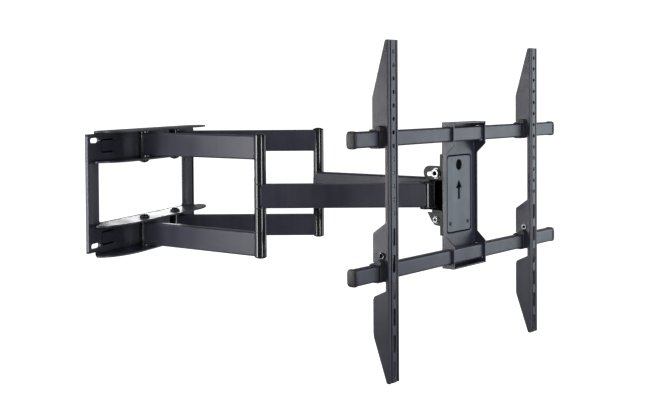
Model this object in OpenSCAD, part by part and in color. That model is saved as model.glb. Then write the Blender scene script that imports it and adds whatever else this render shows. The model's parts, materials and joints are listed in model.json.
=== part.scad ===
// Full motion TV wall mount: two folding pairs of arms carry a tilting TV frame on a wall plate.
// Millimetres. +Z is up, the wall is the plane y = 0 and the room is towards -Y.
// The origin is the middle of the wall plate's back face.

/* [Stored pose] */
// Half of the angle between the two arms
arms_apart = 18.3; // [8:0.1:60]
// Turn of the whole linkage towards +X
arms_pan = 1.3; // [-10:0.1:10]
// Turn of the TV frame about its spindle, from parallel to the wall
tv_swivel = -18.8; // [-30:0.1:30]

/* [Wall plate] */
// Width of the wall frame
frame_w = 490; // [460:5:560]
// Height of the wall frame
frame_h = 254; // [246:2:270]
// Sheet thickness of the wall frame and crossbars' webs
sheet = 3; // [2:0.5:4]
// Depth of the frame's side lips
lip = 8; // [5:1:12]
// Width of the frame's side posts
post_w = 51; // [46:1:54]
// Height of the rib pressed into each side post
rib_h = 8; // [5:1:10]
// End-to-end length of a wall slot
slot_l = 36; // [20:1:40]
// Width of a wall slot
slot_w = 11; // [8:0.5:12]
// Distance from the frame's middle to the middle of a wall slot
slot_x = 214; // [208:1:216]
// Height of the wall slots above and below the middle
slot_z = 113; // [108:1:114]

/* [Crossbars] */
// Height of the arms and crossbars above and below the middle
arm_z = 100; // [96:1:104]
// Clear gap between a crossbar's flanges
flange_gap = 61; // [58:0.5:64]
// Thickness of a crossbar's flanges
flange_t = 3.5; // [3:0.5:5]
// Depth of a flange at its ends
flange_end = 22; // [14:1:30]
// Depth of a flange in the middle
flange_mid = 70; // [62:1:80]
// Distance from the middle at which a flange starts to narrow
flange_shoulder = 135; // [110:5:170]

/* [Arms] */
// Half of the distance between the two wall pivots
pivot_half = 72; // [64:1:80]
// Distance of the wall pivots from the wall
pivot_out = 45; // [42:1:48]
// Length of an arm or forearm, pivot to pivot
arm_l = 342; // [300:1:380]
// Height of every arm tube
tube_h = 50; // [44:1:52]
// Thickness of an arm's tubes
arm_t = 21; // [18:0.5:24]
// Thickness of a forearm's tube
forearm_t = 24.4; // [22:0.2:24.6]
// Wall of the arm tubes
tube_wall = 2; // [1.5:0.5:3]
// Diameter of the elbow posts and of every bearing barrel
post_d = 25; // [25:0.5:28]
// Height of an elbow post
post_h = 260; // [258:1:266]
// Diameter of an elbow shaft
shaft_d = 14; // [12:0.5:15]
// Diameter of the shoulder pins and head pins
pin_d = 12; // [10:0.5:13]

/* [Head] */
// Distance of the swivel spindle in front of the head pins
spindle_out = 12; // [10:0.5:14]
// Diameter of the swivel spindle
spindle_d = 16; // [14:0.5:16]
// Distance from the spindle to the back of the tilt plate
tilt_out = 40; // [40:0.5:44]
// Half of the width over the tilt bracket's ears
ear_half = 55; // [50:0.5:58]
// Height of the tilt lock bolts
lock_z = 44; // [43:0.5:46]
// Height of the tilt pivot bolts
pivot_z = -52; // [-54:0.5:-50]
// Largest tilt of the TV frame towards the floor
tilt_down = 12; // [5:0.5:12]
// Largest tilt of the TV frame towards the ceiling
tilt_up = 2; // [0:0.5:2]

/* [TV frame] */
// Width of the head plate
head_w = 127; // [120:1:136]
// Height of the head plate
head_h = 300; // [294:2:310]
// Height of the rails above and below the middle
rail_z = 125; // [122:1:128]
// Length of a rail
rail_l = 772; // [660:2:800]
// Height of a rail
rail_h = 30; // [26:1:32]
// Depth of a rail
rail_d = 20; // [18:1:22]
// Length of a VESA bracket
bracket_l = 640; // [630:2:660]
// Height of a VESA bracket's top above the middle
bracket_top = 309; // [304:1:316]
// Width of a VESA bracket
bracket_w = 33; // [32:1:36]
// Distance of the left VESA bracket from the head plate's middle
bracket_left = 290; // [110:1:300]
// Distance of the right VESA bracket from the head plate's middle
bracket_right = 257; // [110:1:300]

/* [Hidden] */
$fn = 48;

// Fits and gaps
run = 0.05;
gap = 0.3;
pierce = 1;
// Inside radius of every bend in sheet metal
bend_r = 1;

// Wall plate
window_h = 2 * arm_z - flange_gap - 2 * flange_t - 1;
window_r = 6;
rib_foot_inset = 9;
rib_foot_w = 32;
rib_top_w = 20;
crossbar_l = frame_w - 2 * (sheet + bend_r) - 0.2;
outer_relief = 29;
inner_relief = 55;
web_top = 26.5;
web_bottom = -29;
tongue_l = 74;
tongue_h = 31;
tongue_r = 9;
tongue_groove = 4;
tongue_x = 154;
drain_d = 6;
drain_x = 103;
drain_z = 118;

// Pins, barrels and bushes
post_r = post_d / 2;
pin_r = pin_d / 2;
shaft_r = shaft_d / 2;
tube_r = 4;
bush_flange = 1.2;
bush_wall = 2;
bush_flange_r = post_r - 0.4;
shoulder_barrel_h = flange_gap - 2 * (gap + bush_flange);
hub_half = tube_h / 2 + 0.5;
hub_barrel_h = 2 * (hub_half - bush_flange);
elbow_barrel_h = tube_h + 1;
cap_h = post_h / 2 - arm_z - elbow_barrel_h / 2;
cap_rim = 1;
pin_head_r = 11.5;
pin_head_rim = 3;
pin_head_dome = 5;
foot_r = 8;
foot_t = 1.2;
foot_sunk = 0.2;

// Head
yoke_t = 3;
yoke_z = hub_half + gap;
yoke_eye_r = 13;
yoke_nose_r = 15;
yoke_tube_r = 12;
yoke_web_half = 30;
yoke_web_t = 11;
yoke_web_back = 2;
washer_t = 0.5;
washer_gap = 0.05;
swivel_t = 3;
swivel_z = yoke_z + yoke_t + washer_t + 2 * washer_gap;
swivel_corner = 36;
spindle_r = spindle_d / 2;
spindle_end = 10;
spindle_head_r = 13;
spindle_head_rim = 1.5;
spindle_head_dome = 4;
spindle_nut_r = 13.8;
spindle_nut_h = 9;
bolt_out = tilt_out - 15;
bolt_r = 4;
ear_t = 3;
cheek_half = ear_half - ear_t - 0.6;
cheek_front = tilt_out - 6;
cheek_back = 12;
cheek_r = 10;
nut_w = 6;
nut_r = 7.5;
head_gap = 0.2;
lock_head = [11, 6, 5];
pivot_head = [7.5, 5, 3.5];
ear_back = -6;
ear_low = swivel_z + 1;
ear_top = lock_z + 15.5;
lower_ear_top = -37;
lock_radius = lock_z - pivot_z;
slot_r = bolt_r + gap;
tilt_top = 84;
tilt_bottom = -84;
tilt_lip = 6;
lip_from = 34;

// TV frame
web_out = tilt_out + ear_t;
wall_t = 3;
flange_out = web_out + 10;
ear_out = web_out + 30;
ear_z = 103;
chamfer_z = 84;
cover_w = 88;
cover_h = 156;
cover_r = 6;
cover_groove = 3.5;
cover_hole_r = 11.5;
cover_hole_z = 60;
arrow_low = -12;
arrow_top = 29;
arrow_w = 24;
arrow_shaft_w = 8;
screw_x = 34;
screw_z = -61;
screw_r = 4.2;
screw_key = 1.8;
screw_proud = 0.6;
rail_out = web_out + 15;
rail_r = 4;
rail_wall = 2;
rail_slack = 1;
cap_l = 8;
cap_end = 2;
cap_wall = 1.5;
bracket_out = rail_out + rail_d / 2 + 16;
fold = 2;
flange_deep = 37;
flange_narrow = 8;
strip_lip = 4.5;
strip_edge = 15;
groove_w = 6;
groove_deep = 3.5;
hole_r = 4.25;
hole_pitch = 25;
hole_count = 13;
first_hole = 22;
slot_first = 367;
slot_pitch = 50;
slot_count = 6;
vslot_l = 34;
liner_wall = 3;
liner_w = 22;
bump_r = 6.5;
bump_out = 8;
bump_up = rail_h / 2 + gap + liner_wall;
safety_r = 2.5;
safety_out = rail_out + 12;
safety_z = 32 - rail_z;
safety_reach = 10;
safety_head = [6.5, 3, 4];

charcoal = "#3a3c42";
black = "#1c1d20";
plastic = "#141416";
zinc = "#c9cbcd";
brass_grey = "#8a8c8e";

// Places of the pivots in plan
function heading(a) = [sin(a), -cos(a)];
inner_turn = arms_pan - arms_apart;
outer_turn = arms_pan + arms_apart;
left_shoulder = [-pivot_half, -pivot_out];
right_shoulder = [pivot_half, -pivot_out];
left_elbow = left_shoulder + arm_l * heading(inner_turn);
right_elbow = right_shoulder + arm_l * heading(outer_turn);
left_hand = left_elbow + arm_l * heading(outer_turn);
right_hand = right_elbow + arm_l * heading(inner_turn);
head_mid = (left_hand + right_hand) / 2;
spindle_at = head_mid + [0, -spindle_out];

// ---- helpers ----

// Puts a shape at a point in plan, turned about the vertical
module at(point, turn = 0) {
    translate([point[0], point[1], 0]) rotate([0, 0, turn]) children();
}

// The TV frame's own space: x along the rails, -y away from the wall, origin on the spindle
module on_tv() {
    at(spindle_at, tv_swivel) children();
}

module above_and_below() {
    children();
    mirror([0, 0, 1]) children();
}

module both_sides() {
    children();
    mirror([1, 0, 0]) children();
}

// Rectangle with round corners, centred
module rounded(w, h, r) {
    square([w - 2 * r, h], center = true);
    square([w, h - 2 * r], center = true);
    for (x = [-1, 1], y = [-1, 1])
        translate([x * (w / 2 - r), y * (h / 2 - r)]) circle(r);
}

// Slot with round ends along x, centred
module oblong(l, w) {
    square([l - w, w], center = true);
    for (x = [-1, 1]) translate([x * (l - w) / 2, 0]) circle(w / 2);
}

// Upright plate parallel to the wall, from out to out + t in front; its outline is in x and z
module front(out, t) {
    translate([0, -out, 0]) rotate([90, 0, 0]) linear_extrude(t) children();
}

// Upright plate across the wall, centred at x; its outline is distance out and z
module fin(x, t) {
    translate([x + t / 2, 0, 0]) rotate([90, 0, -90]) linear_extrude(t) children();
}

// Section of a bent sheet: its web lies on the x axis and its two legs reach up to y = depth
module channel(w, depth, t) {
    r = t + bend_r;
    difference() {
        union() {
            translate([-w / 2, r]) square([w, depth - r]);
            translate([r - w / 2, 0]) square([w - 2 * r, depth]);
            for (s = [-1, 1]) translate([s * (w / 2 - r), r]) circle(r);
        }
        translate([0, t + depth]) rounded(w - 2 * t, 2 * depth, bend_r);
    }
}

module ring(outer, inner, h) {
    difference() {
        cylinder(r = outer, h = h, center = true);
        cylinder(r = inner, h = h + 2 * pierce, center = true);
    }
}

// Cap of a ball, standing on z = 0
module dome(r, h) {
    ball = (r * r + h * h) / (2 * h);
    intersection() {
        translate([0, 0, h - ball]) sphere(ball, $fn = 96);
        cylinder(r = r, h = h);
    }
}

// Rectangular tube along -y between two barrels, coped to fit them
module coped_tube(thick) {
    difference() {
        rotate([90, 0, 0]) linear_extrude(arm_l) difference() {
            rounded(thick, tube_h, tube_r);
            rounded(thick - 2 * tube_wall, tube_h - 2 * tube_wall, tube_r - tube_wall);
        }
        for (y = [0, -arm_l])
            translate([0, y, 0]) cylinder(r = post_r, h = tube_h + 2 * pierce, center = true);
    }
}

// Flanged bush in the upper mouth of a barrel whose half height is given
module bush(bore, half) {
    outer = bore + bush_wall;
    depth = 12;
    translate([0, 0, half - depth / 2]) ring(outer, bore, depth);
    translate([0, 0, half + bush_flange / 2]) ring(bush_flange_r, bore, bush_flange);
}

module bush_pair(bore, half) {
    above_and_below() bush(bore, half);
}

// Socket head screw along +z: the shank runs down from z = 0, the head stands above it.
// A head is its radius, its height and its key socket's radius.
module socket_screw(r, shank, head) {
    translate([0, 0, -shank]) cylinder(r = r, h = shank);
    difference() {
        cylinder(r = head[0], h = head[1]);
        translate([0, 0, head[1] / 2]) cylinder(r = head[2], h = head[1], $fn = 6);
    }
}

// ---- wall plate ----

// Outline in plan of a post's rib, from the depth base to the depth top, narrowed by inset
module post_rib(base, top, inset) {
    foot = frame_w / 2 - rib_foot_inset - inset;
    width = rib_foot_w - 2 * inset;
    slope = (rib_foot_w - rib_top_w) / 2;
    polygon([
        [foot, -base], [foot - slope, -top], [foot - width + slope, -top], [foot - width, -base]
    ]);
}

module wall_frame() {
    rib_half = window_h / 2 - pierce;
    color(charcoal) difference() {
        union() {
            intersection() {
                translate([0, 0, -frame_h / 2]) linear_extrude(frame_h)
                    mirror([0, 1]) channel(frame_w, lip, sheet);
                front(-pierce, lip + 2 * pierce) rounded(frame_w, frame_h, window_r);
            }
            both_sides() translate([0, 0, -rib_half]) linear_extrude(2 * rib_half)
                post_rib(sheet, sheet + rib_h, 0);
        }
        both_sides() translate([0, 0, sheet - rib_half])
            linear_extrude(2 * (rib_half - sheet)) post_rib(-pierce, rib_h, sheet - 1);
        front(-pierce, sheet + 2 * pierce) rounded(frame_w - 2 * post_w, window_h, window_r);
        both_sides() above_and_below() {
            front(-pierce, sheet + 2 * pierce) translate([slot_x, slot_z]) oblong(slot_l, slot_w);
            front(-pierce, sheet + 2 * pierce) translate([drain_x, drain_z]) circle(drain_d / 2);
        }
    }
}

// Outline of a crossbar's flange: each end is a quarter of an ellipse that runs in to flange_end,
// and a slanted relief frees the end of the bend
module flange_outline(relief) {
    half = crossbar_l / 2;
    steps = 10;
    corner = [for (i = [0 : steps]) let (turn = 90 * i / steps)
        [flange_shoulder + (half - flange_shoulder) * cos(turn),
         -sheet - flange_end - (flange_mid - flange_end) * sin(turn)]];
    polygon(concat(
        [[relief - half, -sheet], [half - relief, -sheet]], corner,
        [for (i = [steps : -1 : 0]) [-corner[i][0], corner[i][1]]]
    ));
}

// U-shaped slot around a tongue, open towards the middle
module tongue_slot() {
    difference() {
        rounded(tongue_l, tongue_h, tongue_r);
        rounded(tongue_l - 2 * tongue_groove, tongue_h - 2 * tongue_groove, tongue_r - tongue_groove);
        translate([-tongue_l / 2, 0]) square([tongue_l * 0.6, tongue_h + 2], center = true);
    }
}

// Channel for the upper arms, centred on its own middle; its outer flange is the upper one
module crossbar() {
    difference() {
        intersection() {
            fin(0, crossbar_l) translate([sheet, 0]) rotate(-90)
                channel(flange_gap + 2 * flange_t, flange_mid + pierce, flange_t);
            union() {
                linear_extrude(flange_gap) flange_outline(outer_relief);
                mirror([0, 0, 1]) linear_extrude(flange_gap) flange_outline(inner_relief);
                front(0, 3 * sheet) translate([-crossbar_l / 2, web_bottom])
                    square([crossbar_l, web_top - web_bottom]);
            }
        }
        both_sides() {
            translate([pivot_half, -pivot_out, 0]) {
                cylinder(r = pin_r + run, h = flange_gap + 4 * flange_t, center = true);
                translate([0, 0, flange_gap / 2 + flange_t - foot_t - foot_sunk])
                    cylinder(r = foot_r + run, h = flange_t);
            }
            front(0, 3 * sheet) translate([tongue_x, 0]) tongue_slot();
            front(0, 3 * sheet) translate([slot_x, slot_z - arm_z]) oblong(slot_l, slot_w);
            front(0, 3 * sheet) translate([drain_x, drain_z - arm_z]) circle(drain_d / 2);
        }
    }
}

module upper_crossbar() {
    color(charcoal) translate([0, 0, arm_z]) crossbar();
}

module lower_crossbar() {
    color(charcoal) mirror([0, 0, 1]) translate([0, 0, arm_z]) crossbar();
}

// ---- shoulders ----

// Domed pin through the upper crossbar's flanges; its foot lies in the outer flange
module shoulder_pin() {
    foot_z = arm_z + flange_gap / 2 + flange_t;
    head_z = arm_z - flange_gap / 2 - flange_t - foot_sunk;
    translate([0, 0, head_z - pin_head_rim]) cylinder(r = pin_head_r, h = pin_head_rim);
    translate([0, 0, head_z - pin_head_rim]) mirror([0, 0, 1]) dome(pin_head_r, pin_head_dome);
    translate([0, 0, head_z]) cylinder(r = pin_r, h = foot_z - head_z - foot_t / 2);
    translate([0, 0, foot_z - foot_t]) cylinder(r = foot_r, h = foot_t);
}

module shoulder_pins_left() {
    color(black) at(left_shoulder) above_and_below() shoulder_pin();
}

module shoulder_pins_right() {
    color(black) at(right_shoulder) above_and_below() shoulder_pin();
}

// ---- arms ----

module arm_barrels() {
    above_and_below() translate([0, 0, arm_z]) {
        ring(post_r, pin_r + run + bush_wall, shoulder_barrel_h);
        translate([0, -arm_l, 0]) ring(post_r, shaft_r, elbow_barrel_h);
    }
}

module shoulder_bushes() {
    above_and_below() translate([0, 0, arm_z]) bush_pair(pin_r + run, shoulder_barrel_h / 2);
}

module elbow_sleeves() {
    low = hub_half + gap;
    high = arm_z - elbow_barrel_h / 2;
    above_and_below() translate([0, 0, (low + high) / 2]) ring(post_r, shaft_r, high - low);
}

module elbow_caps() {
    base = arm_z + elbow_barrel_h / 2;
    above_and_below() translate([0, 0, base]) {
        cylinder(r = post_r, h = cap_rim);
        translate([0, 0, cap_rim]) dome(post_r, cap_h - cap_rim);
    }
}

module elbow_shaft() {
    cylinder(r = shaft_r, h = 2 * arm_z + elbow_barrel_h, center = true);
}

module arm_tube_upper_left() {
    color(charcoal) at(left_shoulder, inner_turn) translate([0, 0, arm_z]) coped_tube(arm_t);
}

module arm_tube_lower_left() {
    color(charcoal) at(left_shoulder, inner_turn) translate([0, 0, -arm_z]) coped_tube(arm_t);
}

module arm_tube_upper_right() {
    color(charcoal) at(right_shoulder, outer_turn) translate([0, 0, arm_z]) coped_tube(arm_t);
}

module arm_tube_lower_right() {
    color(charcoal) at(right_shoulder, outer_turn) translate([0, 0, -arm_z]) coped_tube(arm_t);
}

module arm_barrels_left() {
    color(black) at(left_shoulder, inner_turn) arm_barrels();
}

module arm_barrels_right() {
    color(black) at(right_shoulder, outer_turn) arm_barrels();
}

module shoulder_bushes_left() {
    color(plastic) at(left_shoulder) shoulder_bushes();
}

module shoulder_bushes_right() {
    color(plastic) at(right_shoulder) shoulder_bushes();
}

module elbow_shaft_left() {
    color(zinc) at(left_elbow) elbow_shaft();
}

module elbow_shaft_right() {
    color(zinc) at(right_elbow) elbow_shaft();
}

module elbow_sleeves_left() {
    color(black) at(left_elbow) elbow_sleeves();
}

module elbow_sleeves_right() {
    color(black) at(right_elbow) elbow_sleeves();
}

module elbow_caps_left() {
    color(plastic) at(left_elbow) elbow_caps();
}

module elbow_caps_right() {
    color(plastic) at(right_elbow) elbow_caps();
}

// ---- forearms ----

module forearm_barrels() {
    ring(post_r, shaft_r + run + bush_wall, hub_barrel_h);
    translate([0, -arm_l, 0]) ring(post_r, pin_r + run + bush_wall, hub_barrel_h);
}

module forearm_tube_left() {
    color(charcoal) at(left_elbow, outer_turn) coped_tube(forearm_t);
}

module forearm_tube_right() {
    color(charcoal) at(right_elbow, inner_turn) coped_tube(forearm_t);
}

module forearm_barrels_left() {
    color(black) at(left_elbow, outer_turn) forearm_barrels();
}

module forearm_barrels_right() {
    color(black) at(right_elbow, inner_turn) forearm_barrels();
}

module elbow_bushes_left() {
    color(plastic) at(left_elbow) bush_pair(shaft_r + run, hub_barrel_h / 2);
}

module elbow_bushes_right() {
    color(plastic) at(right_elbow) bush_pair(shaft_r + run, hub_barrel_h / 2);
}

module hand_bushes_left() {
    color(plastic) at(left_hand) bush_pair(pin_r + run, hub_barrel_h / 2);
}

module hand_bushes_right() {
    color(plastic) at(right_hand) bush_pair(pin_r + run, hub_barrel_h / 2);
}

// ---- head ----

// Pin with a flat foot let into each yoke plate
module head_pin() {
    half = yoke_z + yoke_t - foot_sunk / 2;
    cylinder(r = pin_r, h = 2 * half - foot_t, center = true);
    above_and_below() translate([0, 0, half - foot_t]) cylinder(r = foot_r, h = foot_t);
}

module head_pin_left() {
    color(zinc) at(left_hand) head_pin();
}

module head_pin_right() {
    color(zinc) at(right_hand) head_pin();
}

module yoke_outline() {
    oblong(2 * (pivot_half + yoke_eye_r), 2 * yoke_eye_r);
    translate([0, -spindle_out]) circle(yoke_nose_r);
}

// Two plates that hold the head pins, joined by a web and by the spindle's tube
module yoke() {
    color(black) at(head_mid) difference() {
        union() {
            above_and_below() translate([0, 0, yoke_z]) linear_extrude(yoke_t) yoke_outline();
            translate([-yoke_web_half, yoke_web_back, -yoke_z])
                cube([2 * yoke_web_half, yoke_web_t, 2 * yoke_z]);
            translate([0, -spindle_out, 0]) cylinder(r = yoke_tube_r, h = 2 * yoke_z, center = true);
        }
        both_sides() translate([pivot_half, 0, 0]) {
            cylinder(r = pin_r + run, h = 3 * yoke_z, center = true);
            above_and_below() translate([0, 0, yoke_z + yoke_t - foot_t - foot_sunk])
                cylinder(r = foot_r + run, h = yoke_t);
        }
        translate([0, -spindle_out, 0]) cylinder(r = spindle_r + run, h = 3 * yoke_z, center = true);
    }
}

// Plate on the spindle with a cheek for each tilt bolt at the height reach
module swivel_bracket(reach) {
    difference() {
        intersection() {
            front(-yoke_nose_r, cheek_front + yoke_nose_r) translate([0, swivel_z])
                channel(2 * cheek_half, reach + cheek_r - swivel_z, swivel_t);
            fin(0, 2 * cheek_half + 2 * pierce) {
                translate([-yoke_nose_r, swivel_z]) square([cheek_front + yoke_nose_r, swivel_t]);
                translate([cheek_back, swivel_z]) square([cheek_front - cheek_back, reach - swivel_z]);
                translate([cheek_front - cheek_r, reach]) circle(cheek_r);
            }
        }
        cylinder(r = spindle_r, h = 3 * swivel_z);
        fin(0, 3 * cheek_half) translate([bolt_out, reach]) circle(bolt_r);
        both_sides() translate([cheek_half + pierce, yoke_nose_r + pierce, 0])
            rotate([0, 0, 45]) cube([swivel_corner, swivel_corner, 4 * swivel_z], center = true);
    }
}

module swivel_top_bracket() {
    color(black) on_tv() swivel_bracket(lock_z);
}

module swivel_bottom_bracket() {
    color(black) on_tv() mirror([0, 0, 1]) swivel_bracket(-pivot_z);
}

module swivel_spindle() {
    top = swivel_z + swivel_t;
    color(zinc) on_tv() {
        translate([0, 0, -top - spindle_end]) cylinder(r = spindle_r, h = 2 * top + spindle_end);
        translate([0, 0, top]) cylinder(r = spindle_head_r, h = spindle_head_rim);
        translate([0, 0, top + spindle_head_rim]) dome(spindle_head_r, spindle_head_dome);
    }
}

module swivel_nut() {
    color(zinc) on_tv() translate([0, 0, -swivel_z - swivel_t - spindle_nut_h / 2]) difference() {
        cylinder(r = spindle_nut_r, h = spindle_nut_h, center = true, $fn = 6);
        cylinder(r = spindle_r, h = spindle_nut_h + pierce, center = true);
    }
}

module thrust_washers() {
    color(plastic) on_tv() above_and_below()
        translate([0, 0, yoke_z + yoke_t + washer_t / 2 + washer_gap])
            ring(yoke_nose_r - 1, spindle_r, washer_t);
}

// Tilt screws lie along x with their heads outside the ears
module tilt_screws(z, head) {
    start = ear_half + head_gap;
    shank = start - (cheek_half - ear_t - nut_w - pierce);
    on_tv() both_sides() translate([start, -bolt_out, z]) rotate([0, 90, 0])
        socket_screw(bolt_r, shank, head);
}

module tilt_nuts(z) {
    on_tv() both_sides() translate([cheek_half - ear_t - nut_w / 2, -bolt_out, z]) rotate([0, 90, 0])
        difference() {
            cylinder(r = nut_r, h = nut_w, center = true, $fn = 6);
            cylinder(r = bolt_r, h = 2 * nut_w, center = true);
        }
}

module tilt_lock_bolts() {
    color(zinc) tilt_screws(lock_z, lock_head);
}

module tilt_lock_nuts() {
    color(brass_grey) tilt_nuts(lock_z);
}

module tilt_pivot_bolts() {
    color(zinc) tilt_screws(pivot_z, pivot_head);
}

module tilt_pivot_nuts() {
    color(brass_grey) tilt_nuts(pivot_z);
}

// Curved slot that the lock bolt travels in, around the pivot bolt
module lock_slot() {
    far = 1.2 * lock_radius;
    up_edge = far * [sin(tilt_up), cos(tilt_up)];
    down_edge = far * [-sin(tilt_down), cos(tilt_down)];
    translate([bolt_out, pivot_z]) {
        intersection() {
            difference() {
                circle(lock_radius + slot_r);
                circle(lock_radius - slot_r);
            }
            polygon([[0, 0], up_edge, down_edge]);
        }
        for (turn = [-tilt_up, tilt_down])
            translate(lock_radius * [-sin(turn), cos(turn)]) circle(slot_r);
    }
}

module upper_ear() {
    r = (ear_top - ear_low) / 2;
    difference() {
        union() {
            translate([ear_back + r, ear_low]) square([web_out - ear_back - r, 2 * r]);
            translate([ear_back + r, ear_low + r]) circle(r);
        }
        lock_slot();
    }
}

module lower_ear() {
    difference() {
        polygon([
            [web_out, lower_ear_top], [ear_back + 9, lower_ear_top], [bolt_out - 11, pivot_z - 4],
            [bolt_out - 4, pivot_z - 11], [web_out, pivot_z - 14]
        ]);
        translate([bolt_out, pivot_z]) circle(bolt_r + run);
    }
}

module tilt_bracket() {
    tilt_h = tilt_top - tilt_bottom;
    color(black) on_tv() intersection() {
        translate([0, -web_out, tilt_bottom]) linear_extrude(tilt_h)
            channel(2 * ear_half, web_out - ear_back, ear_t);
        fin(0, 2 * ear_half + 2 * pierce) {
            translate([tilt_out, tilt_bottom]) square([ear_t, tilt_h]);
            translate([tilt_out - tilt_lip, lip_from]) square([tilt_lip + 1, tilt_top - lip_from]);
            translate([tilt_out - tilt_lip, tilt_bottom]) square([tilt_lip + 1, -lip_from - tilt_bottom]);
            upper_ear();
            lower_ear();
        }
    }
}

// ---- TV frame ----

// Side of the head plate: deep ears around the rails, shallow between them
module head_side() {
    half = head_h / 2;
    difference() {
        polygon([
            [web_out, -half], [ear_out, -half], [ear_out, -ear_z], [flange_out, -chamfer_z],
            [flange_out, chamfer_z], [ear_out, ear_z], [ear_out, half], [web_out, half]
        ]);
        for (z = [-rail_z, rail_z])
            translate([rail_out, z]) rounded(rail_d + rail_slack, rail_h + rail_slack, rail_r);
    }
}

// Channel with side ears; its top and bottom flanges stop short of the side bends
module head_plate() {
    depth = ear_out - web_out;
    flange_w = head_w - 4 * wall_t;
    bend = wall_t + bend_r;
    color(charcoal) on_tv() difference() {
        union() {
            intersection() {
                translate([0, -web_out, -head_h / 2]) linear_extrude(head_h)
                    mirror([0, 1]) channel(head_w, depth, wall_t);
                fin(0, head_w + 2 * pierce) head_side();
                front(web_out - pierce, depth + 2 * pierce) difference() {
                    square([head_w + 2 * pierce, head_h], center = true);
                    for (s = [-1, 1]) translate([0, s * head_h / 2])
                        square([flange_w - pierce, 2 * bend], center = true);
                }
            }
            fin(0, flange_w) translate([web_out, 0]) rotate(-90) channel(head_h, depth, wall_t);
        }
        front(web_out - pierce, bend + pierce)
            rounded(cover_w + 2 * cover_groove, cover_h + 2 * cover_groove, cover_r + 2);
    }
}

module arrow() {
    neck = arrow_top - arrow_w * 0.75;
    polygon([
        [-arrow_shaft_w / 2, arrow_low], [arrow_shaft_w / 2, arrow_low], [arrow_shaft_w / 2, neck],
        [arrow_w / 2, neck], [0, arrow_top], [-arrow_w / 2, neck], [-arrow_shaft_w / 2, neck]
    ]);
}

module cover_plate() {
    color(charcoal) on_tv() difference() {
        front(web_out, wall_t) difference() {
            rounded(cover_w, cover_h, cover_r);
            translate([0, cover_hole_z]) circle(cover_hole_r);
            both_sides() translate([screw_x, screw_z]) circle(screw_r + 2 * run);
        }
        front(web_out - pierce, wall_t + 2 * pierce) arrow();
    }
}

module cover_screws() {
    color(plastic) on_tv() both_sides() front(web_out, wall_t + screw_proud)
        translate([screw_x, screw_z]) difference() {
            circle(screw_r);
            circle(screw_key, $fn = 6);
        }
}

module rail(z) {
    on_tv() fin(0, rail_l) translate([rail_out, z]) difference() {
        rounded(rail_d, rail_h, rail_r);
        rounded(rail_d - 2 * rail_wall, rail_h - 2 * rail_wall, rail_r - rail_wall);
    }
}

module upper_rail() {
    color(charcoal) rail(rail_z);
}

module lower_rail() {
    color(charcoal) rail(-rail_z);
}

module rail_end_caps() {
    color(plastic) on_tv() both_sides() above_and_below() difference() {
        fin(rail_l / 2 - cap_l / 2 + cap_end, cap_l) translate([rail_out, rail_z])
            rounded(rail_d + 2 * cap_wall, rail_h + 2 * cap_wall, rail_r + cap_wall);
        fin(rail_l / 2 - cap_l, 2 * cap_l) translate([rail_out, rail_z]) rounded(rail_d, rail_h, rail_r);
    }
}

// Outline of a liner's outside around a rail, with its round bump on top
module liner_outline(extra) {
    wrap = 2 * (gap + liner_wall + extra);
    rounded(rail_d + wrap, rail_h + wrap, rail_r + liner_wall);
    translate([bump_out, bump_up]) circle(bump_r + extra);
}

// Side flange of a VESA bracket; heights run down from the bracket's top
module bracket_flange() {
    front_out = bracket_out;
    deep = front_out - flange_deep;
    thin = front_out - flange_narrow;
    difference() {
        translate([0, bracket_top]) polygon([
            [front_out, 0], [thin + 4, 0], [thin + 1, -1], [thin, -4], [deep, -107], [deep, -113],
            [deep, -200], [thin, -200], [thin, -340], [deep + 1, -360], [deep, -365], [deep, -450],
            [thin, -450], [thin, -467], [deep + 8, -477], [deep + 2, -480], [deep, -486], [deep, -548],
            [deep + 1, -556], [thin, 4 - bracket_l], [thin + 1, 1 - bracket_l],
            [thin + 4, -bracket_l], [front_out, -bracket_l]
        ]);
        for (z = [-rail_z, rail_z]) translate([rail_out, z]) {
            liner_outline(0);
            translate([-rail_d, 0]) square([2 * rail_d, rail_h + 2 * (gap + liner_wall)], center = true);
        }
        translate([safety_out, safety_z]) circle(safety_r + run);
    }
}

// Cross-section of the hole strip between its two grooves, in x and -y
module strip_section() {
    half = bracket_w / 2;
    for (s = [-1, 1]) {
        outer = s * (half - strip_lip / 2);
        middle = s * (half - strip_lip - groove_w / 2);
        translate([outer, -fold / 2]) square([strip_lip, fold], center = true);
        translate([middle, -groove_deep]) square([groove_w + fold, fold], center = true);
        for (side = [-1, 1])
            translate([middle + side * groove_w / 2, -(groove_deep + fold) / 2 + 0.5])
                square([fold, groove_deep + 1], center = true);
    }
    translate([0, -fold / 2]) square([bracket_w - 2 * (strip_lip + groove_w), fold], center = true);
    translate([half - fold / 2, -strip_edge / 2]) square([fold, strip_edge], center = true);
}

module vesa_bracket(x) {
    on_tv() translate([x, 0, 0]) difference() {
        intersection() {
            union() {
                fin(-(bracket_w - fold) / 2, fold) bracket_flange();
                translate([0, -bracket_out, bracket_top - bracket_l]) linear_extrude(bracket_l)
                    mirror([0, 1, 0]) strip_section();
            }
            translate([0, flange_deep - bracket_out, bracket_top - bracket_l]) linear_extrude(bracket_l)
                rounded(bracket_w, 2 * flange_deep, fold + bend_r / 2);
        }
        translate([0, 0, bracket_top]) {
            for (i = [0 : hole_count - 1])
                front(bracket_out - strip_edge, 2 * strip_edge)
                    translate([0, -first_hole - i * hole_pitch]) circle(hole_r);
            for (i = [0 : slot_count - 1])
                front(bracket_out - strip_edge, 2 * strip_edge)
                    translate([0, -slot_first - i * slot_pitch]) rotate(90) oblong(vslot_l, 2 * hole_r);
        }
    }
}

module vesa_bracket_left() {
    color(charcoal) vesa_bracket(-bracket_left);
}

module vesa_bracket_right() {
    color(charcoal) vesa_bracket(bracket_right);
}

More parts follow.
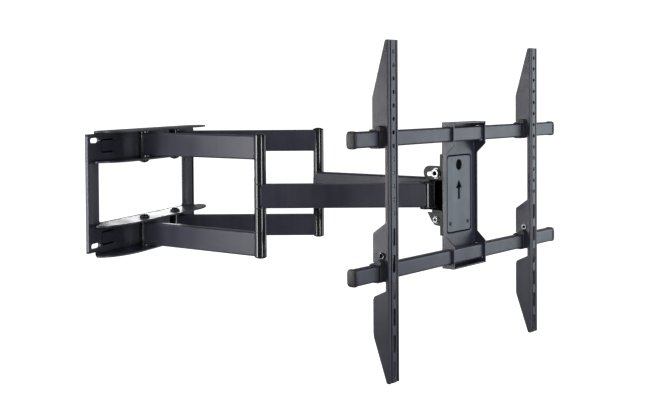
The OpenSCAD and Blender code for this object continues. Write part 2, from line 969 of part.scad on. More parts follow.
// Plastic hooks that wrap the rails and fill the flange's notches
module hook_liners(x) {
    on_tv() fin(x - (bracket_w - fold) / 2, liner_w) for (z = [-rail_z, rail_z])
        translate([rail_out, z]) difference() {
            liner_outline(-run);
            rounded(rail_d + 2 * gap, rail_h + 2 * gap, rail_r);
            translate([-rail_d / 2, -rail_h / 4]) square([rail_d, rail_h / 2], center = true);
        }
}

// Screw through the side flange above the lower rail, which stops the bracket from lifting off
module safety_screw(x) {
    on_tv() translate([x - bracket_w / 2 - run, -safety_out, safety_z]) rotate([0, -90, 0])
        socket_screw(safety_r, safety_reach, safety_head);
}

module hook_liners_left() {
    color(plastic) hook_liners(-bracket_left);
}

module hook_liners_right() {
    color(plastic) hook_liners(bracket_right);
}

module safety_screw_left() {
    color(zinc) safety_screw(-bracket_left);
}

module safety_screw_right() {
    color(zinc) safety_screw(bracket_right);
}

wall_frame();
upper_crossbar();
lower_crossbar();
shoulder_pins_left();
shoulder_pins_right();
arm_tube_upper_left();
arm_tube_lower_left();
arm_tube_upper_right();
arm_tube_lower_right();
arm_barrels_left();
arm_barrels_right();
shoulder_bushes_left();
shoulder_bushes_right();
elbow_shaft_left();
elbow_shaft_right();
elbow_sleeves_left();
elbow_sleeves_right();
elbow_caps_left();
elbow_caps_right();
forearm_tube_left();
forearm_tube_right();
forearm_barrels_left();
forearm_barrels_right();
elbow_bushes_left();
elbow_bushes_right();
hand_bushes_left();
hand_bushes_right();
head_pin_left();
head_pin_right();
yoke();
swivel_top_bracket();
swivel_bottom_bracket();
swivel_spindle();
swivel_nut();
thrust_washers();
tilt_lock_bolts();
tilt_lock_nuts();
tilt_pivot_bolts();
tilt_pivot_nuts();
tilt_bracket();
head_plate();
cover_plate();
cover_screws();
upper_rail();
lower_rail();
rail_end_caps();
vesa_bracket_left();
vesa_bracket_right();
hook_liners_left();
hook_liners_right();
safety_screw_left();
safety_screw_right();
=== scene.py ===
"""Looks of a full motion TV wall mount: powder-coated steel arms that carry a tilting TV frame.

Metres, +Z up, the wall is y = 0 and the room is towards -Y.
"""

import json
import math

import bmesh
import bpy
from mathutils import Matrix, Vector


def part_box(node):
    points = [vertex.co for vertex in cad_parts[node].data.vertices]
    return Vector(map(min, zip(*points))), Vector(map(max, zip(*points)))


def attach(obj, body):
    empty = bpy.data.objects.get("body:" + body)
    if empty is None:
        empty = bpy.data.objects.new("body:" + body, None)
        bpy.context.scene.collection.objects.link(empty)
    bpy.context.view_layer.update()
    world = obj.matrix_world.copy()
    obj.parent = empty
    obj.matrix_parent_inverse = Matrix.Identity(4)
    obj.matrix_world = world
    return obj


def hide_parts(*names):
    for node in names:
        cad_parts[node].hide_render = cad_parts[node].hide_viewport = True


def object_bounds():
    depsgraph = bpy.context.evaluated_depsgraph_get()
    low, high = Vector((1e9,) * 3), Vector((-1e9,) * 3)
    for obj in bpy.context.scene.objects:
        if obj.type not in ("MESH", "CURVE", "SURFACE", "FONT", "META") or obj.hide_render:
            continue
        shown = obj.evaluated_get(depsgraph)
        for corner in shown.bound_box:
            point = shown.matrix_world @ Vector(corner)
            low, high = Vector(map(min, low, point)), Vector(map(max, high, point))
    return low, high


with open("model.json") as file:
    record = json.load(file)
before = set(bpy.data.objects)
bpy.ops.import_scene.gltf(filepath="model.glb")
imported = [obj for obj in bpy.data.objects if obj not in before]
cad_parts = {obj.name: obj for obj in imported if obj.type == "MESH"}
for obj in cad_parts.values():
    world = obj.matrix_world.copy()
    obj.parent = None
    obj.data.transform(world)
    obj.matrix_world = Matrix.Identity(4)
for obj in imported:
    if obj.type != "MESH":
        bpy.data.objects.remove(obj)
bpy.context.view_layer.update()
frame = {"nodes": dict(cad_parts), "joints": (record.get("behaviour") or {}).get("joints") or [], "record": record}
nodes = frame["nodes"]
joints = {joint["name"]: joint for joint in frame["joints"]}
MM = 0.001

# ---- camera ----

CAMERA_AT = Vector((-2.213, -1.258, 0.208))
CAMERA_TURN = -70.0
CAMERA_DIP = 1.5
CAMERA_ROLL = -0.38
CAMERA_LENS = 59.8
CAMERA_SHIFT = -0.1187


def make_camera():
    data = bpy.data.cameras.new("camera")
    data.lens = CAMERA_LENS
    data.sensor_width = 36.0
    data.shift_y = CAMERA_SHIFT
    data.clip_start = 0.01
    camera = bpy.data.objects.new("camera", data)
    turn = Matrix.Rotation(math.radians(CAMERA_TURN), 4, "Z")
    dip = Matrix.Rotation(math.radians(90 - CAMERA_DIP), 4, "X")
    roll = Matrix.Rotation(math.radians(CAMERA_ROLL), 4, "Z")
    camera.matrix_world = Matrix.Translation(CAMERA_AT) @ turn @ dip @ roll
    bpy.context.scene.collection.objects.link(camera)
    bpy.context.scene.camera = camera


make_camera()


# ---- places taken from the frame ----

def point(joint):
    return Vector(joints[joint]["pos_m"])


def middle(node):
    low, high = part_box(node)
    return (low + high) / 2


def span(node, origin, axis):
    """How far a node reaches along an axis, below and above an origin."""
    reach = [(vertex.co - origin).dot(axis) for vertex in nodes[node].data.vertices]
    return min(reach), max(reach)


RAIL_WAY = Vector(joints["tilt"]["axis"])
OUT_WAY = Vector((RAIL_WAY.y, -RAIL_WAY.x, 0))
UP = Vector((0, 0, 1))
SPINDLE = point("swivel")


def basis(x, y, z, at):
    """Matrix that takes local x, y and z to the given directions, with its origin at a point."""
    turn = Matrix((x, y, z)).transposed().to_4x4()
    return Matrix.Translation(at) @ turn


def along(axis, at):
    """Matrix whose local z lies along an axis."""
    side = axis.orthogonal().normalized()
    return basis(side, axis.cross(side), axis, at)


# ---- materials ----

class Nodes:
    """A material's node tree, with one short call for each kind of node."""

    def __init__(self, name):
        self.material = bpy.data.materials.new(name)
        self.material.use_nodes = True
        self.tree = self.material.node_tree
        self.shader = self.tree.nodes["Principled BSDF"]
        self.place = self.add("ShaderNodeTexCoord").outputs["Object"]

    def add(self, kind, **values):
        node = self.tree.nodes.new(kind)
        for key, value in values.items():
            setattr(node, key, value)
        return node

    def link(self, source, target):
        self.tree.links.new(source, target)

    def stretched(self, scale):
        node = self.add("ShaderNodeMapping")
        node.inputs["Scale"].default_value = scale
        self.link(self.place, node.inputs["Vector"])
        return node.outputs["Vector"]

    def noise(self, scale, detail=2.0, roughness=0.5, place=None):
        node = self.add("ShaderNodeTexNoise")
        node.inputs["Scale"].default_value = scale
        node.inputs["Detail"].default_value = detail
        node.inputs["Roughness"].default_value = roughness
        self.link(place or self.place, node.inputs["Vector"])
        return node.outputs["Fac"]

    def spread(self, source, low, high, to_low, to_high):
        node = self.add("ShaderNodeMapRange")
        for key, value in zip(("From Min", "From Max", "To Min", "To Max"), (low, high, to_low, to_high)):
            node.inputs[key].default_value = value
        self.link(source, node.inputs["Value"])
        return node.outputs["Result"]

    def blend(self, share, first, second):
        """Mixes two colours; each is a socket or three numbers."""
        node = self.add("ShaderNodeMix", data_type="RGBA")
        self.link(share, node.inputs["Factor"])
        for key, value in (("A", first), ("B", second)):
            socket = next(s for s in node.inputs if s.name == key and s.type == "RGBA")
            if isinstance(value, tuple):
                socket.default_value = (*value, 1)
            else:
                self.link(value, socket)
        return next(s for s in node.outputs if s.type == "RGBA")

    def maths(self, operation, first, second):
        node = self.add("ShaderNodeMath", operation=operation)
        for socket, value in zip(node.inputs, (first, second)):
            if isinstance(value, float):
                socket.default_value = value
            else:
                self.link(value, socket)
        return node.outputs["Value"]

    def bump(self, height, strength, distance, normal=None):
        node = self.add("ShaderNodeBump")
        node.inputs["Strength"].default_value = strength
        node.inputs["Distance"].default_value = distance
        self.link(height, node.inputs["Height"])
        if normal is not None:
            self.link(normal, node.inputs["Normal"])
        return node.outputs["Normal"]

    def edges(self, radius, patches):
        """Share of lighter edge colour, partly wear and partly a painted edge highlight: 1 on outside edges
        rounder than radius, broken up by patches.
        """
        rounded = self.add("ShaderNodeBevel", samples=4)
        rounded.inputs["Radius"].default_value = radius
        flat = self.add("ShaderNodeNewGeometry").outputs["Normal"]
        dot = self.add("ShaderNodeVectorMath", operation="DOT_PRODUCT")
        self.link(rounded.outputs["Normal"], dot.inputs[0])
        self.link(flat, dot.inputs[1])
        edge = self.spread(dot.outputs["Value"], 0.985, 0.80, 0.0, 1.0)
        return self.maths("MULTIPLY", edge, self.spread(patches, 0.35, 0.65, 0.25, 1.0))

    def finish(self, colour, roughness, normal):
        self.link(colour, self.shader.inputs["Base Color"])
        self.link(roughness, self.shader.inputs["Roughness"])
        self.link(normal, self.shader.inputs["Normal"])
        return self.material


def coated_steel(name, colour, rubbed_and_highlit, rough, grain, coat=0.0, shine=0.5, lighter_edges=True):
    """Paint on steel: fine orange-peel grain, cloudy gloss, faint dust and lighter edges, partly rubbed paint and
    partly a painted edge highlight.
    """
    m = Nodes(name)
    cloud = m.noise(14, 4)
    patches = m.noise(55, 3)
    bands = m.noise(38, 3, 0.6, m.stretched((1.0, 1.0, 0.03)))
    body = m.blend(m.spread(cloud, 0.3, 0.7, 0.0, 1.0), colour, tuple(c * 1.22 for c in colour))
    body = m.blend(m.spread(bands, 0.35, 0.65, 0.0, 1.0), body, tuple(c * 1.5 for c in colour))
    body = m.blend(m.spread(m.noise(420, 2), 0.55, 0.75, 0.0, 0.35), body, tuple(c * 1.7 for c in colour))
    # lighter outside edges: partly rubbed paint, partly a painted edge highlight
    painted = m.blend(m.edges(0.0011, patches), body, rubbed_and_highlit) if lighter_edges else body
    gloss = m.maths("ADD", m.spread(cloud, 0.3, 0.7, rough * 0.88, rough * 1.14),
                    m.spread(patches, 0.3, 0.7, rough * -0.08, rough * 0.08))
    peel = m.bump(m.noise(1300, 2), grain, 0.00012)
    waves = m.bump(m.noise(160, 1), grain * 0.5, 0.0002, peel)
    m.shader.inputs["Specular IOR Level"].default_value = shine
    m.shader.inputs["Coat Weight"].default_value = coat
    m.shader.inputs["Coat Roughness"].default_value = 0.1
    return m.finish(painted, gloss, waves)


def plated_steel(name, colour, rough):
    """Zinc plate: turned rings of fine scratches, cloudy patches and small dark spots."""
    m = Nodes(name)
    m.shader.inputs["Metallic"].default_value = 1.0
    scratches = m.noise(260, 5, 0.7, m.stretched((1.0, 1.0, 9.0)))
    clouds = m.noise(90, 3)
    body = m.blend(m.spread(clouds, 0.35, 0.65, 0.0, 1.0), colour, tuple(c * 0.78 for c in colour))
    body = m.blend(m.spread(m.noise(700, 2), 0.66, 0.74, 0.0, 0.5), body, tuple(c * 0.4 for c in colour))
    gloss = m.spread(scratches, 0.3, 0.7, rough - 0.08, rough + 0.12)
    return m.finish(body, gloss, m.bump(scratches, 0.25, 0.0001))


def moulded_plastic(name, colour, rough):
    """Black nylon: spark-eroded grain, slight clouding and lighter high edges, partly polish and partly a painted
    edge highlight.
    """
    m = Nodes(name)
    clouds = m.noise(45, 3)
    body = m.blend(m.spread(clouds, 0.3, 0.7, 0.0, 1.0), colour, tuple(c * 1.5 for c in colour))
    # lighter high edges: partly polish, partly a painted edge highlight
    body = m.blend(m.edges(0.0009, clouds), body, tuple(c * 2.6 for c in colour))
    gloss = m.spread(clouds, 0.3, 0.7, rough - 0.05, rough + 0.08)
    return m.finish(body, gloss, m.bump(m.noise(2200, 3, 0.6), 0.3, 0.0001))


def studio_floor(name):
    """White sweep: paper that shows as bright as the sky behind it."""
    m = Nodes(name)
    body = m.blend(m.noise(3, 2), (0.40, 0.40, 0.405), (0.42, 0.42, 0.42))
    m.shader.inputs["Emission Color"].default_value = (1, 1, 1, 1)
    seen = m.add("ShaderNodeLightPath").outputs["Is Camera Ray"]
    m.link(m.maths("MULTIPLY", seen, 1.1), m.shader.inputs["Emission Strength"])
    gloss = m.spread(m.noise(30, 2), 0.3, 0.7, 0.7, 0.8)
    return m.finish(body, gloss, m.bump(m.noise(400, 2), 0.05, 0.0005))


def painted_shade_material(name, colour):
    """Near-black matt material for painted shade in recesses: fine pores and no shine."""
    m = Nodes(name)
    pores = m.noise(2600, 3, 0.7)
    body = m.blend(m.spread(pores, 0.35, 0.65, 0.0, 1.0), colour, tuple(c * 0.4 for c in colour))
    m.shader.inputs["Specular IOR Level"].default_value = 0.06
    return m.finish(body, m.spread(pores, 0.3, 0.7, 0.8, 0.95), m.bump(pores, 0.5, 0.0002))


MATERIALS = {
    "powder_coated_steel": coated_steel("powder_coat", (0.019, 0.0195, 0.031), (0.055, 0.058, 0.074),
                                        0.36, 0.35),
    "satin_plate": coated_steel("satin_paint", (0.050, 0.062, 0.076), (0.16, 0.18, 0.21), 0.42, 0.25),
    "gloss_black_steel": coated_steel("gloss_paint", (0.005, 0.0052, 0.0068), (0.05, 0.05, 0.06),
                                      0.12, 0.05, coat=0.3, lighter_edges=False),
    "zinc_hardware": plated_steel("zinc_plate", (0.36, 0.36, 0.37), 0.3),
    "black_plastic": moulded_plastic("black_nylon", (0.012, 0.012, 0.015), 0.45),
}
ENAMEL = coated_steel("black_enamel", (0.004, 0.0042, 0.0052), (0.02, 0.02, 0.024), 0.26, 0.1, shine=0.12)
POLISHED_NYLON = moulded_plastic("polished_nylon", (0.006, 0.006, 0.008), 0.18)
# painted shade: near-black matt material for the sheets and discs put in sockets, slots and grooves
PAINTED_SHADE = painted_shade_material("painted_shade_black", (0.004, 0.004, 0.0045))
OWN_LOOKS = {"elbow_caps": POLISHED_NYLON, "swivel_top_bracket": ENAMEL, "swivel_bottom_bracket": ENAMEL,
             "tilt_bracket": ENAMEL, "yoke": ENAMEL, "cover_screws": ENAMEL}


def dress_nodes():
    for row in frame["record"]["subparts"]:
        node = nodes[row["node"]]
        looks = [look for key, look in OWN_LOOKS.items() if key in row["node"]]
        node.data.materials.clear()
        node.data.materials.append(looks[0] if looks else MATERIALS[row["material_slot"]])


dress_nodes()


# ---- edges of the CAD nodes ----

def soften(piece, width, segments=2, angle=35):
    """Rounds every sharp edge of a piece with modifiers, which leaves its own mesh as it is."""
    weld = piece.modifiers.new("weld", "WELD")
    weld.merge_threshold = 0.002 * MM
    flat = piece.modifiers.new("flat", "DECIMATE")
    flat.decimate_type = "DISSOLVE"
    flat.angle_limit = math.radians(0.4)
    bevel = piece.modifiers.new("bevel", "BEVEL")
    bevel.width = width
    bevel.segments = segments
    bevel.limit_method = "ANGLE"
    bevel.angle_limit = math.radians(angle)
    bevel.harden_normals = False
    bevel.miter_outer = "MITER_ARC"
    normals = piece.modifiers.new("normals", "WEIGHTED_NORMAL")
    normals.keep_sharp = False
    normals.weight = 60


EDGE_WIDTHS = {
    "wall_frame": 0.8, "crossbar": 0.8, "arm_tube": 0.35, "forearm_tube": 0.35, "barrels": 0.5,
    "shoulder_pins": 0.9, "elbow_caps": 0.5, "elbow_sleeves": 0.35, "yoke": 0.9,
    "swivel_top_bracket": 0.7, "swivel_bottom_bracket": 0.7, "tilt_bracket": 0.8, "head_plate": 0.8,
    "cover_plate": 0.7, "rail_end_caps": 1.6, "upper_rail": 0.4, "lower_rail": 0.4,
    "vesa_bracket": 0.55, "hook_liners": 0.8, "nut": 0.6,
}


def soften_nodes():
    for name, node in nodes.items():
        widths = [width for key, width in EDGE_WIDTHS.items() if key in name]
        if widths:
            soften(node, widths[0] * MM)


soften_nodes()


# ---- pieces of their own ----

def new_piece(name, mesh, slot, body, look=None):
    piece = bpy.data.objects.new(name, mesh)
    bpy.context.scene.collection.objects.link(piece)
    piece.data.materials.append(look or MATERIALS[slot])
    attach(piece, body)
    return piece


def mesh_from(name, parts, place=Matrix.Identity(4), smooth=40):
    """One mesh from several (points, faces) shells, moved to its place, with sharp edges kept."""
    bm = bmesh.new()
    for points, faces in parts:
        made = [bm.verts.new(place @ Vector(p)) for p in points]
        for face in faces:
            bm.faces.new([made[i] for i in face])
    bmesh.ops.remove_doubles(bm, verts=bm.verts, dist=1e-7)
    bmesh.ops.recalc_face_normals(bm, faces=bm.faces)
    for edge in bm.edges:
        edge.smooth = edge.calc_face_angle(0) < math.radians(smooth)
    for face in bm.faces:
        face.smooth = True
    mesh = bpy.data.meshes.new(name)
    bm.to_mesh(mesh)
    bm.free()
    return mesh


def rings_shell(rings):
    """Closed shell from rings of equal length; each end is capped."""
    count = len(rings[0])
    points = [p for ring in rings for p in ring]
    faces = []
    for row in range(len(rings) - 1):
        for i in range(count):
            a, b = row * count + i, row * count + (i + 1) % count
            faces.append((a, b, b + count, a + count))
    last = (len(rings) - 1) * count
    faces.append(tuple(reversed(range(count))))
    faces.append(tuple(range(last, last + count)))
    return points, faces


SIDES = 48


def circle(r, z):
    turns = [2 * math.pi * i / SIDES for i in range(SIDES)]
    return [(r * math.cos(turn), r * math.sin(turn), z) for turn in turns]


def hexagon(across, z):
    """Hexagon with its corners at radius across, sampled at as many points as the circles around it."""
    ring = []
    for i in range(SIDES):
        turn = 2 * math.pi * i / SIDES
        off = (turn % (math.pi / 3)) - math.pi / 6
        r = across * math.cos(math.pi / 6) / math.cos(off)
        ring.append((r * math.cos(turn), r * math.sin(turn), z))
    return ring


def turned(profile):
    """Shell turned about z from (radius, height) pairs, from the bottom up."""
    return rings_shell([circle(r, z) for r, z in profile])


def socket_head(r, h, key):
    """Head of a socket screw on z = 0: chamfered rim, dished top and a hexagonal socket."""
    rim = min(0.18 * h, 0.12 * r)
    deep = 0.55 * h
    outside = [circle(r - rim / 2, 0), circle(r, rim / 2), circle(r, h - 1.4 * rim),
               circle(r - 0.4 * rim, h - 0.4 * rim), circle(r - 1.4 * rim, h)]
    mouth = [circle(key * 1.16, h), hexagon(key, h - 0.3 * rim), hexagon(key, h - deep),
             circle(key * 0.55, h - deep - 0.25 * key)]
    return rings_shell(outside + mouth)


def thread(r, low, high, pitch, depth):
    """Screw thread about z: the groove winds up as a true helix and fades out at both ends."""
    rows = int((high - low) / pitch * 8)
    rings = []
    for row in range(rows + 1):
        z = low + (high - low) * row / rows
        fade = min(1.0, (high - z) / pitch, (z - low) / pitch)
        ring = []
        for i in range(SIDES):
            phase = (z / pitch - i / SIDES) % 1.0
            cut = depth * fade * (1 - abs(2 * phase - 1))
            tip = 0.7 * depth * (1 - min(1.0, (high - z) / pitch))
            ring.append(((r - cut - tip) * math.cos(2 * math.pi * i / SIDES),
                         (r - cut - tip) * math.sin(2 * math.pi * i / SIDES), z))
        rings.append(ring)
    return rings_shell(rings)


def washer(r, bore, low, high):
    """Flat washer with rolled edges, as a closed ring."""
    edge = 0.3 * (high - low)
    profile = [(bore, low), (r - edge, low), (r, low + edge),
               (r, high - edge), (r - edge, high), (bore, high)]
    points, faces = [], []
    for pr, pz in profile:
        points += circle(pr, pz)
    count = len(profile)
    for row in range(count):
        for i in range(SIDES):
            a, b = row * SIDES + i, row * SIDES + (i + 1) % SIDES
            above = ((row + 1) % count) * SIDES
            faces.append((a, b, above + (i + 1) % SIDES, above + i))
    return points, faces


def socket_shade_disc(name, key, z, place, body):
    """Painted shade: near-black disc at the bottom of a screw's socket, where the deep socket lies in shade."""
    r, thick = key * 0.8, 0.3 * MM
    disc = [turned([(r, z), (r, z + thick)])]
    new_piece(name, mesh_from(name, disc, place), "black_plastic", body, PAINTED_SHADE)


TILT_SHANK_R = 4 * MM
TILT_THREAD = (36 * MM, 44 * MM)
TILT_PITCH = 1.25 * MM
WASHER_T = 1.2 * MM
HEAD_SHARE = 0.86


def tilt_screws(node, head, key):
    """Socket screws through the ears: a washer, a turned head and a threaded shank on each side."""
    r, h = head
    centre = middle(node)
    low, high = span(node, centre, RAIL_WAY)
    for side, reach, way in (("left", -low, -RAIL_WAY), ("right", high, RAIL_WAY)):
        base = reach - h
        place = along(way, centre)
        lift = Matrix.Translation((0, 0, base + WASHER_T))
        head_points, head_faces = socket_head(r * HEAD_SHARE, h - WASHER_T, key)
        head_points = [tuple(lift @ Vector(p)) for p in head_points]
        parts = [
            (head_points, head_faces),
            washer(r, TILT_SHANK_R, base, base + WASHER_T),
            turned([(TILT_SHANK_R, TILT_THREAD[1]), (TILT_SHANK_R, base + 1.5 * MM)]),
            thread(TILT_SHANK_R, *TILT_THREAD, TILT_PITCH, 0.6 * MM),
        ]
        name = node.replace("bolts", "screw") + "_" + side
        piece = new_piece(name, mesh_from(name, parts, place), "zinc_hardware", "swivel_bracket")
        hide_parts(node)
        # painted shade at the bottom of the screw's socket
        socket_shade_disc(name + "_socket_shade", key, reach - 0.5 * h, place, "swivel_bracket")


def safety_screws():
    """Screws that keep the brackets on the rails: a flat socket head and a plain shank."""
    r, h, key = 6.5 * MM, 3 * MM, 4 * MM
    shank_r, tip_r, tip_l = 2.5 * MM, 2.1 * MM, 0.5 * MM
    for side, slot in (("left", "gloss_black_steel"), ("right", "zinc_hardware")):
        node = "safety_screw_" + side
        low, high = span(node, middle(node), RAIL_WAY)
        place = along(-RAIL_WAY, middle(node))
        points, faces = socket_head(r, h, key)
        lift = Matrix.Translation((0, 0, -low - h))
        head = ([tuple(lift @ Vector(q)) for q in points], faces)
        shank = turned([(tip_r, -high), (shank_r, tip_l - high), (shank_r, -low - h)])
        body = "vesa_" + side
        piece = new_piece(node + "_turned", mesh_from(node + "_turned", [head, shank], place), slot, body)
        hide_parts(node)
        # painted shade at the bottom of the screw's socket
        socket_shade_disc(node + "_socket_shade", key, -low - 0.5 * h, place, body)


safety_screws()
tilt_screws("tilt_lock_bolts", (11 * MM, 6 * MM), 5 * MM)
tilt_screws("tilt_pivot_bolts", (7.5 * MM, 5 * MM), 3.5 * MM)


def spindle():
    """Swivel spindle: domed head, shank and a threaded end below its nut."""
    low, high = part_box("swivel_spindle")
    nut_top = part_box("swivel_nut")[1].z
    r, head_r, rim, crown = 8 * MM, 13 * MM, 1.5 * MM, 4 * MM
    base = high.z - rim - crown
    dome = [(head_r, base), (head_r, base + rim)]
    for i in range(1, 9):
        turn = math.radians(90 * i / 9)
        dome.append((head_r * math.cos(turn), base + rim + crown * math.sin(turn)))
    points, faces = thread(r, -nut_top, -low.z, 1.75 * MM, 0.8 * MM)
    downward = ([(x, y, -z) for x, y, z in points], faces)
    parts = [turned(dome), turned([(r, nut_top), (r, base)]), downward]
    place = Matrix.Translation((SPINDLE.x, SPINDLE.y, 0))
    piece = new_piece("swivel_spindle_turned", mesh_from("swivel_spindle_turned", parts, place),
                      "zinc_hardware", "swivel_bracket")
    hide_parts("swivel_spindle")


spindle()


def squircle(a, b, z):
    """Rectangle with full round corners, a by b half sizes, at height z."""
    power = 4.0
    ring = []
    for i in range(SIDES):
        c, d = math.cos(2 * math.pi * i / SIDES), math.sin(2 * math.pi * i / SIDES)
        ring.append((a * math.copysign(abs(c) ** (2 / power), c),
                     b * math.copysign(abs(d) ** (2 / power), d), z))
    return ring


def rail_caps():
    """Moulded caps on the rails' ends: a rolled collar and a pillowed end face."""
    node = "rail_end_caps"
    left, right = span(node, SPINDLE, RAIL_WAY)
    near, far = span(node, SPINDLE, OUT_WAY)
    # millimetres back from the end face, and in from the widest outline
    collar = ((8, 1.3), (7.7, 0.6), (7, 0.15), (5.5, 0), (3, 0))
    pillow = ((2, 0.3), (1.4, 0.9), (0.8, 2), (0.35, 3.8), (0, 7))
    half_out = (far - near) / 2
    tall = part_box(node)[1].z - middle("upper_rail").z
    parts = []
    for rail in ("upper_rail", "lower_rail"):
        for reach, way in ((-left, -RAIL_WAY), (right, RAIL_WAY)):
            at = SPINDLE + OUT_WAY * (near + far) / 2
            at.z = middle(rail).z
            place = basis(OUT_WAY, way.cross(OUT_WAY), way, at)
            rings = []
            for back, inset in collar + pillow:
                ring = squircle(half_out - inset * MM, tall - inset * MM, reach - back * MM)
                rings.append([tuple(place @ Vector(q)) for q in ring])
            parts.append(rings_shell(rings))
    piece = new_piece("rail_caps_moulded", mesh_from("rail_caps_moulded", parts), "black_plastic", "tv_head")
    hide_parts(node)


rail_caps()


def rounded_ring(a, b, r, z, steps=8):
    """Rectangle of half sizes a and b with corner radius r, at height z."""
    ring = []
    for quarter, (x, y) in enumerate(((1, 1), (-1, 1), (-1, -1), (1, -1))):
        for i in range(steps + 1):
            turn = math.pi / 2 * (quarter + i / steps)
            ring.append((x * (a - r) + r * math.cos(turn), y * (b - r) + r * math.sin(turn), z))
    return ring


def cover_shade_sheet():
    """Painted shade: thin near-black sheet under the cover plate, so the groove round it and its cut-outs read as
    shaded.
    """
    right = span("cover_plate", SPINDLE, RAIL_WAY)[1]
    back = span("cover_plate", SPINDLE, OUT_WAY)[0]
    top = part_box("cover_plate")[1].z
    proud, corner, thick = 3.3 * MM, 7.8 * MM, 0.25 * MM
    place = basis(RAIL_WAY, UP, OUT_WAY, SPINDLE + OUT_WAY * back)
    rings = [rounded_ring(right + proud, top + proud, corner, z) for z in (0, thick)]
    # painted shade: near-black sheet showing in the groove and cut-outs
    mesh = mesh_from("cover_shade_sheet", [rings_shell(rings)], place)
    new_piece("cover_shade_sheet", mesh, "black_plastic", "tv_head", PAINTED_SHADE)


cover_shade_sheet()


SLOT_OUT = 154 * MM
SLOT_REACH = 37 * MM
SLOT_OPEN = -14.6 * MM
SLOT_HALF = 15.4 * MM
SLOT_CORNER = 9 * MM
SLOT_WIDTH = 3.8 * MM


def half_slot(inset):
    """Upper half of the slot's edge, from its open end to its round end, moved in by an inset."""
    corner = [math.radians(90 * i / 8) for i in range(9)]
    r = SLOT_CORNER - inset
    return [(SLOT_OPEN, SLOT_HALF - inset)] + [
        (SLOT_REACH - SLOT_CORNER + r * math.sin(turn), SLOT_HALF - SLOT_CORNER + r * math.cos(turn))
        for turn in corner]


def tongue_slot_shade():
    """Painted shade: thin near-black sheets at the bottom of the U-shaped slots in the crossbars, where shade
    falls.
    """
    outer, inner = half_slot(0), half_slot(SLOT_WIDTH)
    outline = outer + [(x, -z) for x, z in reversed(outer)] + [(x, -z) for x, z in inner] + inner[::-1]
    for name in ("upper_crossbar", "lower_crossbar"):
        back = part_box(name)[1].y
        parts = []
        for side in (-1, 1):
            rings = [[(side * (SLOT_OUT + x), back - lift, middle(name).z + z) for x, z in outline]
                     for lift in (0.05 * MM, 0.35 * MM)]
            parts.append(rings_shell(rings))
        # painted shade: near-black sheets that make the slots read dark
        shade_name = name.replace("crossbar", "tongue_slot_shade")
        new_piece(shade_name, mesh_from(shade_name, parts), "black_plastic", "wall_plate", PAINTED_SHADE)


tongue_slot_shade()


# ---- weld beads ----

BARREL_R = 12.5 * MM
BEAD_HALF = 21 * MM
BEAD_R = 1.5 * MM
BEAD_SIDES = 12
RIPPLE = 2.1 * MM
ROWS_PER_RIPPLE = 5


def bead(at, way, half_width, seed):
    """Upright weld bead in the corner between a tube's side and its barrel, rippled along its length."""
    side = Vector((-way.y, way.x, 0)) * (1 if half_width > 0 else -1)
    width = abs(half_width)
    toward = math.sqrt(BARREL_R ** 2 - width ** 2)
    centre = at + side * width + way * toward
    outward = (side + way * 0.6).normalized()
    across = outward.cross(UP)
    rings = []
    rows = int(2 * BEAD_HALF / RIPPLE * ROWS_PER_RIPPLE)
    for row in range(rows + 1):
        z = -BEAD_HALF + 2 * BEAD_HALF * row / rows
        ripple = abs(math.sin(math.pi * (z / RIPPLE + 0.13 * seed)))
        ends = min(1.0, (BEAD_HALF - abs(z)) / (2 * BEAD_R) + 0.25)
        r = BEAD_R * (0.84 + 0.16 * ripple + 0.05 * math.sin(9.7 * z / RIPPLE + seed)) * ends
        ring = []
        for i in range(BEAD_SIDES):
            turn = 2 * math.pi * i / BEAD_SIDES
            offset = outward * (r * 0.8 * math.cos(turn)) + across * (r * 1.15 * math.sin(turn))
            ring.append(tuple(centre + offset + UP * z))
        rings.append(ring)
    return rings_shell(rings)


def weld(name, body, start, end, tube, height):
    """Beads at both ends of a tube that runs from one barrel to the other, on both sides."""
    way = Vector((end.x - start.x, end.y - start.y, 0)).normalized()
    side = Vector((-way.y, way.x, 0))
    low, high = span(tube, start, side)
    parts = []
    for number, (at, heading) in enumerate(((start, way), (end, -way))):
        for s in (-1, 1):
            spot = Vector((at.x, at.y, height))
            parts.append(bead(spot, heading, (high - low) / 2 * s, number + 2 * s + height * 40))
    new_piece(name, mesh_from(name, parts, smooth=60), "powder_coated_steel", body)


def weld_arms():
    hands = {"left": point("hand_left"), "right": middle("head_pin_right")}
    for side in ("left", "right"):
        shoulder = point("extend" if side == "left" else "extend_right")
        elbow = point("elbow_" + side)
        upper = middle("arm_tube_upper_" + side).z
        for place, height in (("upper", upper), ("lower", -upper)):
            tube = f"arm_tube_{place}_{side}"
            weld(f"weld_{place}_{side}", "arm_" + side, shoulder, elbow, tube, height)
        weld(f"weld_forearm_{side}", "forearm_" + side, elbow, hands[side], "forearm_tube_" + side, 0.0)


weld_arms()


# ---- studio ----

FLOOR_SIZE = 60
FLOOR_DROP = 0.18


def make_floor():
    """Floor some way below the mount, which hangs on a wall that isn't shown."""
    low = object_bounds()[0]
    bpy.ops.mesh.primitive_plane_add(size=FLOOR_SIZE, location=(0, 0, low.z - FLOOR_DROP))
    floor = bpy.context.object
    floor.name = "floor"
    floor.data.materials.append(studio_floor("studio_floor"))


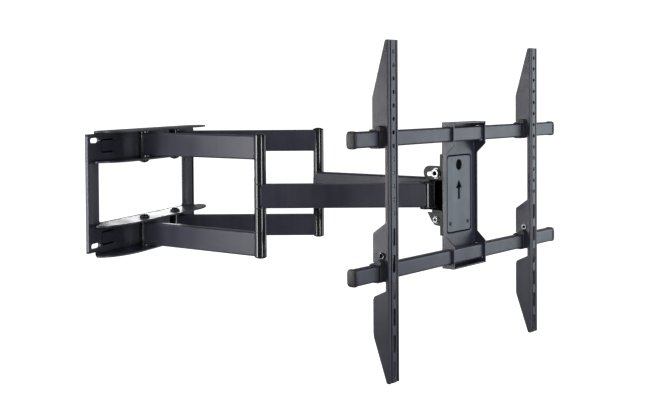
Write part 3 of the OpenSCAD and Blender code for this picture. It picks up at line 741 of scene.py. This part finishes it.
def make_world(low, high, seen):
    """Sky that is lighter near the horizon than overhead; the camera itself sees plain white."""
    world = bpy.data.worlds.new("studio")
    world.use_nodes = True
    bpy.context.scene.world = world
    tree = world.node_tree
    lit = tree.nodes["Background"]
    lit.inputs["Color"].default_value = (0.97, 0.98, 1, 1)
    way = tree.nodes.new("ShaderNodeSeparateXYZ")
    tree.links.new(tree.nodes.new("ShaderNodeTexCoord").outputs["Generated"], way.inputs["Vector"])
    fall = tree.nodes.new("ShaderNodeMapRange")
    for key, value in (("From Min", 0.0), ("From Max", 0.7), ("To Min", low), ("To Max", high)):
        fall.inputs[key].default_value = value
    tree.links.new(way.outputs["Z"], fall.inputs["Value"])
    tree.links.new(fall.outputs["Result"], lit.inputs["Strength"])
    shown = tree.nodes.new("ShaderNodeBackground")
    shown.inputs["Strength"].default_value = seen
    shown.inputs["Color"].default_value = (1, 1, 1, 1)
    path = tree.nodes.new("ShaderNodeLightPath")
    mix = tree.nodes.new("ShaderNodeMixShader")
    tree.links.new(path.outputs["Is Camera Ray"], mix.inputs["Fac"])
    tree.links.new(lit.outputs["Background"], mix.inputs[1])
    tree.links.new(shown.outputs["Background"], mix.inputs[2])
    tree.links.new(mix.outputs["Shader"], tree.nodes["World Output"].inputs["Surface"])


def softbox(name, at, target, width, height, power, tint=(1, 1, 1)):
    """Rectangular lamp at a place, facing a target; the camera doesn't see it."""
    data = bpy.data.lights.new(name, "AREA")
    data.shape = "RECTANGLE"
    data.size = width
    data.size_y = height
    data.energy = power
    data.color = tint
    lamp = bpy.data.objects.new(name, data)
    lamp.location = at
    lamp.rotation_mode = "QUATERNION"
    lamp.rotation_quaternion = (Vector(target) - Vector(at)).to_track_quat("-Z", "Y")
    lamp.visible_camera = False
    bpy.context.scene.collection.objects.link(lamp)


make_floor()
make_world(low=0.30, high=0.18, seen=1.2)
WALL_PLATE = middle("wall_frame")
HEAD = middle("head_plate")
ARMS = (WALL_PLATE + HEAD) / 2
LIP = WALL_PLATE - Vector((0.24, 0, 0))
softbox("front", (1.30, -2.35, 0.10), HEAD, 2.0, 1.15, 18, (0.86, 0.93, 1.0))
softbox("arms", (-0.95, 1.75, 0.15), ARMS, 0.8, 1.9, 14, (0.92, 0.88, 1.0))
softbox("streak", (-1.55, -2.30, 0.15), ARMS, 0.5, 1.8, 32)
softbox("top", (-0.30, -0.70, 2.2), ARMS, 1.8, 1.8, 8)
softbox("flange", (0.69, 0.38, 0.02), WALL_PLATE - Vector((0, 0, 0.07)), 0.24, 0.14, 0.85)
softbox("lip", (-0.76, 0.20, 0.0), LIP, 0.2, 0.6, 5.5)
bpy.context.scene.view_settings.view_transform = "Standard"
